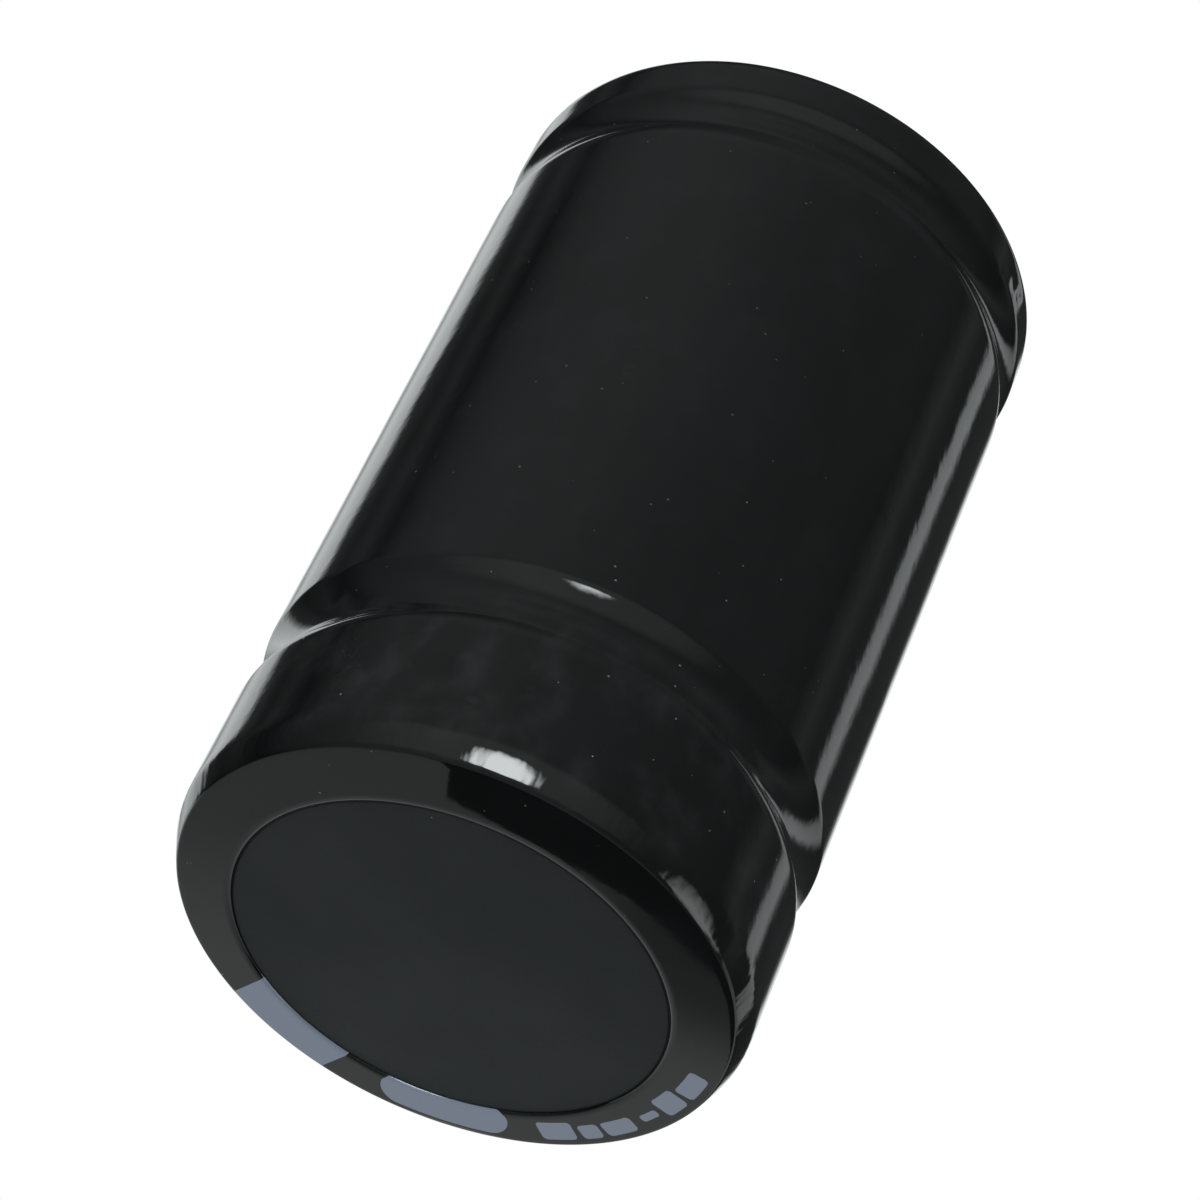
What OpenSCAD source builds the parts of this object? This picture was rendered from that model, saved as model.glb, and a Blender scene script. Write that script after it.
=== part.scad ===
// Snap-in supercapacitor cell, standing on its closed end with its two terminals up.
// Origin: centre of the closed face, where the sleeve's lip rests. Units: millimetres.

/* [Can] */
// Outer diameter of the drawn can
can_d = 35; // [25:0.5:50]
// Length of the cell over the sleeve, from the closed face to the rim
cell_l = 60.9; // [45:0.1:105]
// Thickness of the can's wall
can_wall = 0.45; // [0.3:0.05:0.6]
// Thickness of the can's floor
can_floor = 0.5; // [0.35:0.05:1]
// Outer radius of the corner between the can's wall and its floor
can_corner = 1.6; // [1:0.1:2.5]
// Outer radius of the curl that holds the header in
curl_r = 0.8; // [0.7:0.05:1.1]
// Length of each arm of the pressure vent scored across the floor
vent_l = 14; // [6:0.5:20]
// Width of the vent's score
vent_w = 0.8; // [0.4:0.1:1.5]
// Depth of the vent's score
vent_depth = 0.2; // [0.1:0.05:0.3]

/* [Foot bead] */
// Height of the bead that grips the winding, above the closed face
foot_z = 12; // [8:0.1:18]
// Depth of the foot bead
foot_depth = 0.75; // [0.5:0.05:1.8]
// Radius of the roller that pressed the foot bead
foot_roll = 2.8; // [1:0.1:5]
// Radius of the foot bead's two edges
foot_edge = 2.8; // [0.8:0.1:5]

/* [Neck bead] */
// Depth of the bead that the header sits on
neck_depth = 0.6; // [0.4:0.05:1.6]
// Radius of the roller that pressed the neck bead
neck_roll = 2.2; // [0.8:0.05:3.5]
// Radius of the neck bead's two edges
neck_edge = 2.15; // [0.7:0.05:3.5]

/* [Sleeve and closed end] */
// Thickness of the shrunk film
film_t = 0.18; // [0.08:0.01:0.25]
// Room between the film and what it wraps
film_fit = 0.02; // [0.01:0.01:0.05]
// Diameter of the hole that the lip leaves in the closed face
lip_hole_d = 26.6; // [15:0.2:28]
// Sideways shift of the lip's hole, which shrinks off centre
lip_shift_x = 0; // [-1:0.1:1]
// Shift of the lip's hole away from the front
lip_shift_y = 1.1; // [-1.5:0.1:1.5]
// How far round the curl the film reaches, in degrees
neck_wrap = 150; // [100:5:175]
// Thickness of the insulating disc under the can
disc_t = 0.5; // [0.3:0.05:1]
// How much smaller in radius the disc is than the can
disc_inset = 0.25; // [0.1:0.05:0.8]
// Radius of the disc's lower edge
disc_edge = 0.2; // [0.1:0.05:0.3]

/* [Header] */
// Thickness of the phenolic board
board_t = 1.3; // [1:0.05:3]
// Thickness of the rubber facing
rubber_t = 0.9; // [0.6:0.05:2]
// Room between the header and the can's wall
header_fit = 0.05; // [0.02:0.01:0.1]

/* [Terminals] */
// Distance between the two pins
pin_pitch = 10; // [9:0.5:14]
// Length of the pins beyond the rim
pin_l = 6.3; // [4:0.1:10]
// Width of a pin
pin_w = 2; // [1.5:0.1:3]
// Width of a pin's tip
pin_tip_w = 1.2; // [0.8:0.1:1.4]
// Sideways bow of a pin, which snaps it into a board
pin_bow = 0.7; // [0.3:0.1:1.2]
// Thickness of the terminal's sheet
lug_t = 0.8; // [0.5:0.05:1]
// Diameter of the terminal's foot, round the rivet
lug_d = 5.2; // [4.6:0.1:6]
// Distance from a pin to its rivet
lug_reach = 4.2; // [4:0.1:6]
// Inner radius of the bend at a pin's root
lug_bend = 0.4; // [0.2:0.1:0.8]

/* [Rivets] */
// Diameter of the rivets' shanks
rivet_d = 3; // [2:0.1:3.4]
// Diameter of the rivets' outer heads
rivet_head_d = 4.4; // [4:0.1:5]
// Thickness of the rivets' outer heads
rivet_head_t = 0.9; // [0.5:0.1:1.5]
// Diameter of the flare inside the can
rivet_flare_d = 4.2; // [4:0.1:5]
// Thickness of the flare inside the can
rivet_flare_t = 0.8; // [0.5:0.1:1.2]
// Room round the rivets' shanks
rivet_fit = 0.05; // [0.02:0.01:0.1]
// Diameter of the washers under the flares
washer_d = 5.6; // [5.2:0.1:7]
// Thickness of the washers under the flares
washer_t = 0.6; // [0.4:0.1:1]

/* [Tabs] */
// Width of the stacked foil tabs
tab_w = 6; // [4:0.2:8]
// Thickness of the stacked foil tabs
tab_t = 0.5; // [0.2:0.05:0.8]
// Distance from a rivet to where its tabs leave the winding
tab_reach = 6.4; // [5:0.1:8]
// Radius of the tabs' bend under the board
tab_bend = 0.9; // [0.6:0.1:1.2]
// Slack bowed into the tabs
tab_slack = 0.7; // [0:0.1:1]

/* [Winding] */
// Room between the winding and the can's wall
winding_gap = 0.55; // [0.3:0.05:1]
// Room between the winding and the foot bead that grips it
grip_fit = 0.1; // [0.05:0.05:0.3]
// Diameter of the hole that the winding mandrel leaves
core_d = 4; // [2:0.5:8]
// Height left free between the winding and the neck bead
head_gap = 2.4; // [1.5:0.1:5]
// Thickness of the insulators at the winding's two ends
insulator_t = 0.4; // [0.2:0.05:0.8]
// How much smaller in radius the upper insulator is than the winding
insulator_inset = 0.3; // [0.1:0.1:1]
// Room round the tabs in the upper insulator
slot_room = 0.3; // [0.2:0.1:0.6]
// Thickness of the tape round the winding
tape_t = 0.08; // [0.04:0.01:0.15]
// Room between the tape and the winding
tape_fit = 0.02; // [0.01:0.01:0.05]
// Bare winding left above and below the tape
tape_margin = 2; // [1:0.5:6]

/* [Hidden] */
$fn = 96;
arc_steps = 8;
eps = 0.01;
// the rivets and their terminals are alike, half a turn apart
POSITIVE = 0;
NEGATIVE = 180;

can_r = can_d / 2;
film_out = film_fit + film_t;

// heights, from the closed face up
disc_z = film_out;
can_z = disc_z + disc_t;
floor_z = can_z + can_floor;
curl_z = cell_l - film_out - curl_r;
rubber_z = curl_z - rubber_t;
board_z = rubber_z - board_t;
neck_half = bead_half(neck_depth, neck_roll, neck_edge);
neck_z = board_z - neck_half;
foot_half = bead_half(foot_depth, foot_roll, foot_edge);
winding_z = floor_z + insulator_t;
winding_top = neck_z - neck_half - head_gap;

// radii and places across
disc_r = can_r - disc_inset;
bore_r = can_r - can_wall;
header_r = bore_r - header_fit;
winding_r = bore_r - winding_gap;
rivet_hole_r = rivet_d / 2 + rivet_fit;

// Half the height of a bead whose roller circle runs smoothly into its edges
function bead_half(depth, roll, edge) =
    sqrt(pow(roll + edge, 2) - pow(roll + edge - depth, 2));

// Points along an arc; skip leaves out that many at each end
function arc(c, r, from, to, skip = 0) = [
    for (i = [skip : arc_steps - skip])
        let (a = from + (to - from) * i / arc_steps) c + r * [cos(a), sin(a)]
];

function reversed(p) = [for (i = [len(p) - 1 : -1 : 0]) p[i]];

// The can's wall past a bead, from below to above, moved outwards by out
function bead(z, depth, roll, edge, out) =
    let (
        half = bead_half(depth, roll, edge),
        turn = atan2(half, roll + edge - depth)
    )
    concat(
        arc([can_r - edge, z - half], edge + out, 0, turn),
        arc([can_r - depth + roll, z], roll - out, 180 + turn, 180 - turn, 1),
        arc([can_r - edge, z + half], edge + out, -turn, 0)
    );

function foot_bead(out) = bead(foot_z, foot_depth, foot_roll, foot_edge, out);
function neck_bead(out) = bead(neck_z, neck_depth, neck_roll, neck_edge, out);

// The can's wall round the curl, up to an angle, moved outwards by out
function curl(out, to) = arc([can_r - curl_r, curl_z], curl_r + out, 0, to);

// Where a taut film leaves the can's corner to run straight down to the disc's top edge
function film_leaves(out) =
    let (
        c = [can_r - can_corner, can_z + can_corner],
        r = can_corner + out,
        p = [disc_r + out, disc_z + disc_t - disc_edge],
        d = p - c
    )
    atan2(d[1], d[0]) + acos(min(1, r / norm(d)));

// The film's line from the lip to the neck's edge, at a distance out from what it wraps
function film_line(out) = concat(
    arc([disc_r - disc_edge, disc_z + disc_edge], disc_edge + out, -90, 0),
    [[disc_r + out, disc_z + disc_t - disc_edge]],
    arc([can_r - can_corner, can_z + can_corner], can_corner + out, film_leaves(out), 0),
    foot_bead(out),
    neck_bead(out),
    curl(out, neck_wrap)
);

// A bent sheet of thickness t along a line of points, as an outline
function sheet(p, t) =
    let (
        n = [for (i = [0 : len(p) - 2]) let (d = p[i + 1] - p[i]) [-d[1], d[0]] / norm(d)],
        last = len(n) - 1,
        m = [for (i = [0 : len(p) - 1]) n[max(0, i - 1)] + n[min(last, i)]],
        side = [for (v = m) v * t / (v * v)]
    )
    concat(p + side, reversed(p - side));

// Places what belongs to one terminal, with its rivet's axis on z
module at_rivet(turn) {
    rotate(turn)
        translate([pin_pitch / 2, lug_reach])
            children();
}

// Turns an outline drawn in y and z into a sheet of width w, centred on x = 0
module side_view(w) {
    translate([-w / 2, 0])
        rotate([90, 0, 90])
            linear_extrude(w)
                children();
}

// A disc with the two rivet holes through it
module header_disc(z, t) {
    difference() {
        translate([0, 0, z])
            cylinder(r = header_r, h = t);
        for (turn = [POSITIVE, NEGATIVE])
            at_rivet(turn)
                translate([0, 0, z - eps])
                    cylinder(r = rivet_hole_r, h = t + 2 * eps);
    }
}

// Black shrink film: lip on the closed face, wall over both beads, edge folded round the curl
module sleeve() {
    color("#1c1c1e")
        difference() {
            rotate_extrude()
                polygon(concat(
                    [[0, film_t], [0, 0]],
                    film_line(film_out),
                    reversed(film_line(film_fit))
                ));
            translate([lip_shift_x, lip_shift_y, -eps])
                cylinder(d = lip_hole_d, h = film_t + 2 * eps);
        }
}

// Dark insulating disc between the can and the lip
module base_disc() {
    color("#2b2d2f")
        rotate_extrude()
            polygon(concat(
                [[0, disc_z + disc_t], [0, disc_z]],
                arc([disc_r - disc_edge, disc_z + disc_edge], disc_edge, -90, 0),
                arc([disc_r - disc_edge, disc_z + disc_t - disc_edge], disc_edge, 0, 90)
            ));
}

// Drawn aluminium can with its two beads, its curl and the vent scored across its floor
module can() {
    corner_in = can_corner - can_wall;
    color("#c4c7ca")
        difference() {
            rotate_extrude()
                polygon(concat(
                    [[0, can_z]],
                    arc([can_r - can_corner, can_z + can_corner], can_corner, -90, 0),
                    foot_bead(0),
                    neck_bead(0),
                    curl(0, 180),
                    reversed(curl(-can_wall, 180)),
                    reversed(neck_bead(-can_wall)),
                    reversed(foot_bead(-can_wall)),
                    arc([bore_r - corner_in, floor_z + corner_in], corner_in, 0, -90),
                    [[0, floor_z]]
                ));
            for (turn = [45, 135])
                rotate(turn)
                    translate([-vent_l / 2, -vent_w / 2, can_z - eps])
                        cube([vent_l, vent_w, vent_depth + eps]);
        }
}

// Phenolic board, seated on the neck bead
module header_board() {
    color("#6b4a2f")
        header_disc(board_z, board_t);
}

// Rubber facing, which the curl presses on
module header_rubber() {
    color("#232323")
        header_disc(rubber_z, rubber_t);
}

// Tinned snap-in terminal: a foot round the rivet and a bowed pin beside it
module terminal(turn) {
    bend = lug_bend + lug_t / 2;
    top = cell_l + pin_l - curl_z;
    seat = cell_l - curl_z;
    bow_from = seat + 1;
    bow_to = seat + 0.75 * pin_l;
    line = concat(
        [[0, lug_t / 2]],
        arc([bend - lug_reach, lug_t / 2 + bend], bend, 270, 180),
        [
            for (i = [1 : arc_steps])
                let (t = i / arc_steps)
                    [pin_bow * (1 - cos(360 * t)) / 2 - lug_reach, bow_from + t * (bow_to - bow_from)]
        ],
        [[-lug_reach, top]]
    );
    color("#b9bcbd")
        at_rivet(turn)
            translate([0, 0, curl_z])
                difference() {
                    union() {
                        cylinder(d = lug_d, h = lug_t);
                        intersection() {
                            side_view(pin_w)
                                polygon(sheet(line, lug_t));
                            // seen from the front, the pin narrows to its tip
                            rotate([90, 0, 0])
                                linear_extrude(4 * lug_reach, center = true)
                                    polygon([
                                        [-pin_w / 2, 0], [pin_w / 2, 0], [pin_w / 2, bow_to],
                                        [pin_tip_w / 2, top], [-pin_tip_w / 2, top], [-pin_w / 2, bow_to]
                                    ]);
                        }
                    }
                    translate([0, 0, -eps])
                        cylinder(r = rivet_hole_r, h = lug_t + 2 * eps);
                }
}

module terminal_positive() terminal(POSITIVE);
module terminal_negative() terminal(NEGATIVE);

// Aluminium rivet: domed head on the terminal, flare under the washer
module rivet(turn) {
    flare_top = board_z - tab_t - washer_t;
    head_z = curl_z + lug_t;
    edge = rivet_head_t / 2;
    color("#cfd1d3")
        at_rivet(turn)
            rotate_extrude()
                polygon(concat(
                    [[0, flare_top - rivet_flare_t]],
                    [[rivet_d / 2, flare_top - rivet_flare_t]],
                    [[rivet_flare_d / 2, flare_top]],
                    [[rivet_d / 2, flare_top], [rivet_d / 2, head_z]],
                    [[rivet_head_d / 2, head_z]],
                    arc([rivet_head_d / 2 - edge, head_z + edge], edge, 0, 90),
                    [[0, head_z + rivet_head_t]]
                ));
}

module rivet_positive() rivet(POSITIVE);
module rivet_negative() rivet(NEGATIVE);

// Aluminium washer between the tabs and the rivet's flare
module washer(turn) {
    color("#bfc2c4")
        at_rivet(turn)
            translate([0, 0, board_z - tab_t - washer_t])
                difference() {
                    cylinder(d = washer_d, h = washer_t);
                    translate([0, 0, -eps])
                        cylinder(r = rivet_hole_r, h = washer_t + 2 * eps);
                }
}

module washer_positive() washer(POSITIVE);
module washer_negative() washer(NEGATIVE);

// Stacked aluminium foil tabs, from the winding up to their rivet
module tabs(turn) {
    straight_to = winding_top + insulator_t + slot_room;
    bend_from = board_z - tab_t / 2 - tab_bend;
    line = concat(
        [[tab_reach, winding_top]],
        [
            for (i = [0 : arc_steps - 1])
                let (t = i / arc_steps)
                    [tab_reach + tab_slack * (1 - cos(360 * t)) / 2, straight_to + t * (bend_from - straight_to)]
        ],
        arc([tab_reach - tab_bend, bend_from], tab_bend, 0, 90),
        [[-tab_w / 2, bend_from + tab_bend]]
    );
    color("#d3d5d6")
        at_rivet(turn)
            difference() {
                intersection() {
                    side_view(tab_w)
                        polygon(sheet(line, tab_t));
                    // seen from above, the stack ends in a half round
                    linear_extrude(cell_l)
                        union() {
                            circle(d = tab_w);
                            translate([-tab_w / 2, 0])
                                square([tab_w, 2 * tab_reach]);
                        }
                }
                translate([0, 0, board_z - tab_t - eps])
                    cylinder(r = rivet_hole_r, h = tab_t + 2 * eps);
            }
}

module tabs_positive() tabs(POSITIVE);
module tabs_negative() tabs(NEGATIVE);

// Thin plastic disc on the winding, slotted for the tabs
module upper_insulator() {
    color("#dcd8c8")
        difference() {
            translate([0, 0, winding_top])
                cylinder(r = winding_r - insulator_inset, h = insulator_t);
            for (turn = [POSITIVE, NEGATIVE])
                at_rivet(turn)
                    translate([-tab_w / 2 - slot_room, tab_reach - tab_t / 2 - slot_room, winding_top - eps])
                        cube([tab_w + 2 * slot_room, tab_t + 2 * slot_room, insulator_t + 2 * eps]);
        }
}

// Thin plastic disc on the can's floor
module lower_insulator() {
    color("#dcd8c8")
        translate([0, 0, floor_z])
            cylinder(r = can_r - can_corner, h = insulator_t);
}

// Wound electrodes and separators, necked in where the foot bead grips them
module winding() {
    color("#4a4a48")
        rotate_extrude()
            difference() {
                translate([core_d / 2, winding_z])
                    square([winding_r - core_d / 2, winding_top - winding_z]);
                polygon(concat(
                    foot_bead(-can_wall - grip_fit),
                    [[can_r, foot_z + foot_half], [can_r, foot_z - foot_half]]
                ));
            }
}

// Tape that keeps the winding from unrolling
module winding_tape() {
    from = foot_z + foot_half + tape_margin;
    to = winding_top - tape_margin;
    inner = winding_r + tape_fit;
    color("#b98a4a")
        rotate_extrude()
            translate([inner, from])
                square([tape_t, to - from]);
}

sleeve();
base_disc();
can();
header_board();
header_rubber();
terminal_positive();
terminal_negative();
rivet_positive();
rivet_negative();
washer_positive();
washer_negative();
tabs_positive();
tabs_negative();
upper_insulator();
lower_insulator();
winding();
winding_tape();
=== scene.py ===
"""Looks of a snap-in supercapacitor cell in its shrink sleeve, with header and terminals, in a small studio."""

import math

import bmesh
import bpy
import numpy as np
from bpy.props import FloatProperty, FloatVectorProperty, IntProperty, PointerProperty
from bpy.types import Operator, Panel, PropertyGroup
from mathutils import Matrix, Vector


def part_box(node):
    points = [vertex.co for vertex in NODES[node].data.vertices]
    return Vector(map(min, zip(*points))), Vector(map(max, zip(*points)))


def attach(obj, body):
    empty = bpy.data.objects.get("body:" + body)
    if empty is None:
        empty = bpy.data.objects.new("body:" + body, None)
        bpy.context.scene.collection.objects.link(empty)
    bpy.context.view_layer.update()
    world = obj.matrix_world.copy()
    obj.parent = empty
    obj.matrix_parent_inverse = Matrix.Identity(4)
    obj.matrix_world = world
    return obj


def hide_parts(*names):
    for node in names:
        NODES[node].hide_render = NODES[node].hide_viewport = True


bl_info = {
    "name": "Supercapacitor cell",
    "version": (1, 0, 0),
    "blender": (4, 5, 0),
    "location": "3D View > Sidebar > Cell",
    "description": "Dresses a snap-in supercapacitor cell and sets it in a small studio",
    "category": "Object",
}

MM = 0.001
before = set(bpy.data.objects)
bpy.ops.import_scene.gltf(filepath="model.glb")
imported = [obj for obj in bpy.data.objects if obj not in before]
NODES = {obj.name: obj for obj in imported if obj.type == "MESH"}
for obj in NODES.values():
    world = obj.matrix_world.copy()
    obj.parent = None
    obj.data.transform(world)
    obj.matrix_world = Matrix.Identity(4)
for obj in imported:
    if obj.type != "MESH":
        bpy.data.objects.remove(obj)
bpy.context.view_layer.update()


# ---------------- sizes and colours


# The can and its film, in millimetres
CAN_R = round(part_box("can")[1].x / MM, 3)
FILM_THICK, FILM_FIT = 0.18, 0.02
FOOT_Z = 12.0
FOOT_BEAD = (0.75, 2.8, 2.8)  # depth, radius of the groove, radius of its edges
NECK_BEAD = (0.6, 2.2, 2.15)
CURL_R, RUBBER, BOARD, NECK_HALF = 0.8, 0.9, 1.3, 2.2045
CORNER_TOP, FOLD_START = 2.6, 59.0  # the straight wall and its beads lie between these heights
LEAST_FILM = 0.02  # how far a dent stays from the line that the inner side follows

PRINT_FIELDS = (
    # middle and half angle in degrees; inner radius, outer radius and corner in millimetres
    (117.1, 13.9, 12.6, 17.9, 0.55), (77.0, 15.2, 14.25, 16.55, 1.1), (50.0, 4.3, 14.9, 16.45, 0.3),
    (41.6, 2.6, 15.25, 16.45, 0.3), (33.6, 4.2, 15.25, 16.45, 0.3), (23.9, 2.6, 15.5, 16.05, 0.2),
    (16.0, 3.6, 14.9, 16.45, 0.3), (6.6, 4.4, 15.2, 16.45, 0.3),
)
BRIDGES = (
    # azimuth, height, half width, half height, slant, depth; a depth below nought lifts the film off the bead
    (-105.0, 11.4, 8.0, 1.2, 0, -0.40), (-68.0, 11.4, 8.0, 1.2, 0, -0.40),
    (-102.0, 55.3, 8.0, 0.9, 0, -0.24), (-74.0, 55.3, 6.0, 0.9, 0, -0.16),
)
DENTS = (
    # the same, round the foot, on the wall and near the rim
    (-105.6, 3.75, 0.75, 0.34, -20, 0.155), (-113.5, 5.40, 1.50, 0.90, 0, 0.150),
    (-113.8, 3.05, 1.70, 0.28, 14, 0.070), (-97.4, 5.75, 0.40, 0.30, 0, 0.090),
    (-108.0, 1.95, 1.30, 0.45, 0, 0.040), (-139.5, 10.6, 3.2, 0.55, 18, 0.050),
    (-128.0, 11.0, 2.6, 0.8, -8, 0.030), (-147.8, 12.7, 0.55, 0.5, 0, 0.055),
    (-60.0, 10.4, 4.0, 0.9, -6, 0.025), (-88.0, 16.2, 5.0, 0.9, 0, 0.012),
    (-150.0, 30.0, 1.2, 5.0, 0, 0.010), (-40.0, 44.0, 1.4, 5.0, 0, 0.008),
    (-88.0, 58.8, 0.40, 0.28, 0, 0.050), (-86.0, 58.5, 0.30, 0.22, 0, 0.040),
    (-35.0, 58.7, 0.50, 0.40, 0, 0.070), (-31.0, 59.0, 0.40, 0.30, 0, 0.060),
    (-39.5, 58.0, 0.70, 0.30, 20, 0.050), (60.0, 22.0, 3.0, 3.5, 0, 0.020),
    (120.0, 40.0, 3.5, 2.5, 0, 0.018),
)
TENT_LEVELS = (
    # azimuth and brightness of the tent that reflections see
    (-180, 0.13), (-165, 0.21), (-145, 0.28), (-120, 0.31), (-104, 0.27), (-88, 0.23), (-45, 0.16),
    (-20, 0.13), (-3, 0.08), (8, 0.16), (16, 0.08), (23.5, 0.06), (25.5, 0.55), (27, 0.82), (34.5, 0.79),
    (37, 0.30), (39, 0.06), (62, 0.04), (67, 0.14), (69.5, 0.50), (74, 0.98), (104, 0.98), (110, 0.42),
    (115, 0.88), (119, 1.14), (132, 1.20), (135, 0.50), (137.5, 0.08), (148, 0.04), (157, 0.08),
    (167, 0.03), (180, 0.13),
)
TENT_LAMPS = (
    # azimuth and half width, height and half height, all in degrees, and power
    (-101.0, 15.0, -11.0, 13.0, 15.0), (-100.0, 60.0, -4.0, 38.0, 0.26), (-15.0, 21.0, -11.0, 16.0, 2.4),
)
TENT_R = 3.0
ALL_BUT_GLOSSY = ("camera", "diffuse", "transmission", "volume_scatter", "shadow")
LAMPS = (
    # name, place, size, share of the key lamp's power
    ("key", (-0.35, -0.45, 0.65), 0.5, 1.0), ("fill", (0.6, 0.25, 0.45), 0.6, 0.5),
    ("under", (-0.25, -0.35, -0.45), 0.5, 0.22),
)


def length_property(name, description, millimetres):
    return FloatProperty(name=name, description=description, default=millimetres * MM, unit="LENGTH")


def colour_property(name, description, value):
    return FloatVectorProperty(name=name, description=description, subtype="COLOR", default=value)


class FilmSettings(PropertyGroup):
    """Shrink film over the can."""

    steps: IntProperty(name="Steps", description="Facets round the film", default=440, min=96, max=720)
    hole_radius: length_property("Lip hole", "Radius of the hole that the lip leaves", 13.3)
    hole_shift: length_property("Lip shift", "How far the lip's hole sits off centre", 1.1)
    wave_height: length_property("Wave height", "Height of the film's slow waves", 0.012)
    wave_length: length_property("Wave length", "Distance between the film's slow waves", 9)
    seed: IntProperty(name="Seed", description="Picks another set of waves", default=7)
    colour: colour_property("Film colour", "Colour of the film", (0.0012, 0.0014, 0.0015))
    print_colour: colour_property("Print colour", "Colour of the printed fields", (0.125, 0.150, 0.195))


class EndSettings(PropertyGroup):
    """Insulating disc seen inside the lip."""

    colour: colour_property("Disc colour", "Colour of the fibre disc", (0.0072, 0.0088, 0.0096))
    grain: length_property("Grain", "Height of the disc's grain", 0.012)


class HeaderSettings(PropertyGroup):
    """Terminals and rivets on the header."""

    edge: length_property("Sheared edge", "Round on the terminals' edges", 0.09)
    dimple: length_property("Dimple", "Depth of the setting mark in a rivet's head", 0.22)
    steps: IntProperty(name="Rivet steps", description="Facets round a rivet", default=96, min=24, max=256)
    tin: colour_property("Tin colour", "Colour of the tin plating", (0.70, 0.71, 0.70))


class StudioSettings(PropertyGroup):
    """Camera, lamps and floor."""

    camera: FloatVectorProperty(
        name="Camera", description="Where the camera stands", subtype="XYZ", default=(0.0, -0.19800, -0.13701)
    )
    target: FloatVectorProperty(
        name="Target", description="What the camera looks at", subtype="XYZ", default=(-0.000953, 0.0, 0.02858)
    )
    roll: FloatProperty(
        name="Roll", description="Turn of the camera", default=math.radians(25.2), subtype="ANGLE"
    )
    lens: FloatProperty(name="Lens", description="Focal length in millimetres", default=126.0)
    ambient: FloatProperty(name="Ambient", description="Strength of the light from all round", default=0.55)
    key: FloatProperty(name="Key", description="Power of the key lamp", default=1.6, unit="POWER")
    floor_colour: colour_property("Floor", "Colour of the floor", (0.86, 0.86, 0.86))


# ---------------- node helpers


def feed(tree, socket, value):
    """Links a socket to another node's output, or sets its plain value."""
    if isinstance(value, bpy.types.NodeSocket):
        tree.links.new(value, socket)
    else:
        socket.default_value = value


def add(tree, kind, inputs=None, **settings):
    """A new node with its settings, and each input either linked or set."""
    node = tree.nodes.new(kind)
    node.location = (len(tree.nodes) % 12 * 190, len(tree.nodes) // 12 * -260)
    for key, value in settings.items():
        setattr(node, key, value)
    for key, value in (inputs or {}).items():
        feed(tree, node.inputs[key], value)
    return node


def math_node(tree, operation, *values):
    return add(tree, "ShaderNodeMath", dict(enumerate(values)), operation=operation).outputs[0]


def chain(tree, operation, first, *others):
    """The operation carried on from value to value."""
    for value in others:
        first = math_node(tree, operation, first, value)
    return first


def plus(tree, *values):
    return chain(tree, "ADD", *values)


def times(tree, *values):
    return chain(tree, "MULTIPLY", *values)


def most(tree, *values):
    return chain(tree, "MAXIMUM", *values)


def minus(tree, one, other):
    return math_node(tree, "SUBTRACT", one, other)


def over(tree, one, other):
    return math_node(tree, "DIVIDE", one, other)


def distance(tree, x, y):
    """How far the point x, y lies from nought."""
    return math_node(tree, "SQRT", plus(tree, times(tree, x, x), times(tree, y, y)))


def vector_node(tree, operation, one, other):
    second = "Scale" if operation == "SCALE" else 1
    return add(tree, "ShaderNodeVectorMath", {0: one, second: other}, operation=operation).outputs[0]


def object_place(tree):
    return add(tree, "ShaderNodeTexCoord").outputs["Object"]


def separate(tree, vector):
    return add(tree, "ShaderNodeSeparateXYZ", {0: vector}).outputs


def fade(tree, value, start, end, low=0.0, high=1.0):
    """Runs smoothly from low to high as value goes from start to end."""
    inputs = {"Value": value, "From Min": start, "From Max": end, "To Min": low, "To Max": high}
    return add(tree, "ShaderNodeMapRange", inputs, interpolation_type="SMOOTHSTEP").outputs[0]


def mix_colours(tree, factor, one, other, blend="MIX"):
    inputs = {0: factor, 6: one, 7: other}
    return add(tree, "ShaderNodeMix", inputs, data_type="RGBA", blend_type=blend).outputs[2]


def bump(tree, height, depth, normal=None):
    inputs = {"Height": height, "Distance": depth, "Strength": 1.0}
    if normal is not None:
        inputs["Normal"] = normal
    return add(tree, "ShaderNodeBump", inputs).outputs[0]


def rgba(colour, share=1.0):
    return (colour[0] * share, colour[1] * share, colour[2] * share, 1.0)


def grey(level):
    return (level, level, level, 1.0)


def socket_name(key):
    return key.replace("_", " ").title()


FLOAT, VECTOR = "NodeSocketFloat", "NodeSocketVector"


def new_group(name, kind, inputs, outputs):
    """A node group with named sockets: its tree, what it is given and what it makes."""
    tree = bpy.data.node_groups.new(name, kind)
    for title, socket_kind, value in inputs:
        socket = tree.interface.new_socket(name=title, in_out="INPUT", socket_type=socket_kind)
        if value is not None:
            socket.default_value = value
    for title, socket_kind in outputs:
        tree.interface.new_socket(name=title, in_out="OUTPUT", socket_type=socket_kind)
    return tree, add(tree, "NodeGroupInput").outputs, add(tree, "NodeGroupOutput").inputs


def grain_group():
    """Fine noise: a height that sinks and swells, and a blotchy value."""
    tree, given, made = new_group(
        "Grain", "ShaderNodeTree",
        [("Size", FLOAT, 0.001), ("Stretch", VECTOR, (1.0, 1.0, 1.0)), ("Detail", FLOAT, 2.0)],
        [("Height", FLOAT), ("Blotches", FLOAT)],
    )
    stretched = vector_node(tree, "MULTIPLY", object_place(tree), given["Stretch"])
    scale = over(tree, 1.0, given["Size"])
    inputs = {"Vector": stretched, "Scale": scale, "Detail": given["Detail"], "Roughness": 0.5}
    tree.links.new(add(tree, "ShaderNodeTexNoise", inputs).outputs[0], made["Height"])
    inputs = {"Vector": stretched, "Scale": over(tree, 0.12, given["Size"]), "Detail": 3.0}
    tree.links.new(add(tree, "ShaderNodeTexNoise", inputs).outputs[0], made["Blotches"])
    return tree


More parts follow.
